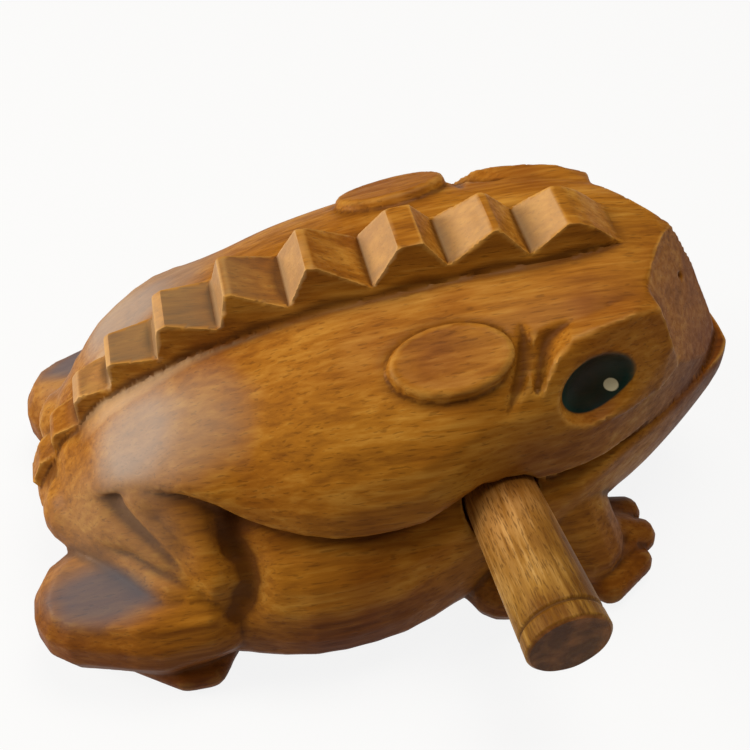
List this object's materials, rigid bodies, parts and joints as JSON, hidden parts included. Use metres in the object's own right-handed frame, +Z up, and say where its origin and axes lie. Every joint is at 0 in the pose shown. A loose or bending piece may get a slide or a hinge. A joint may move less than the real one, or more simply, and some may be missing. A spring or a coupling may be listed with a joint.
{
  "type": "frog guiro",
  "caption": "Hollow carved wooden frog with a notched crest along its back, scraped with the turned stick carried in the bore across its mouth.",
  "frame": {"origin": "on the flat underside of the belly, in the plane the frog stands on, midway between its left and right sides", "axes": "+X towards the nose, +Y towards the frog's left, +Z up"},
  "size_m": [0.1314, 0.1023, 0.0667],
  "materials": {
    "carved_wood": "golden brown hardwood, carved, satin varnish",
    "stick_wood": "paler turned hardwood, thin varnish, dark end grain"
  },
  "bodies": {
    "root": {"frog_body": "carved_wood", "stick": "stick_wood"}
  },
  "joints": []
}
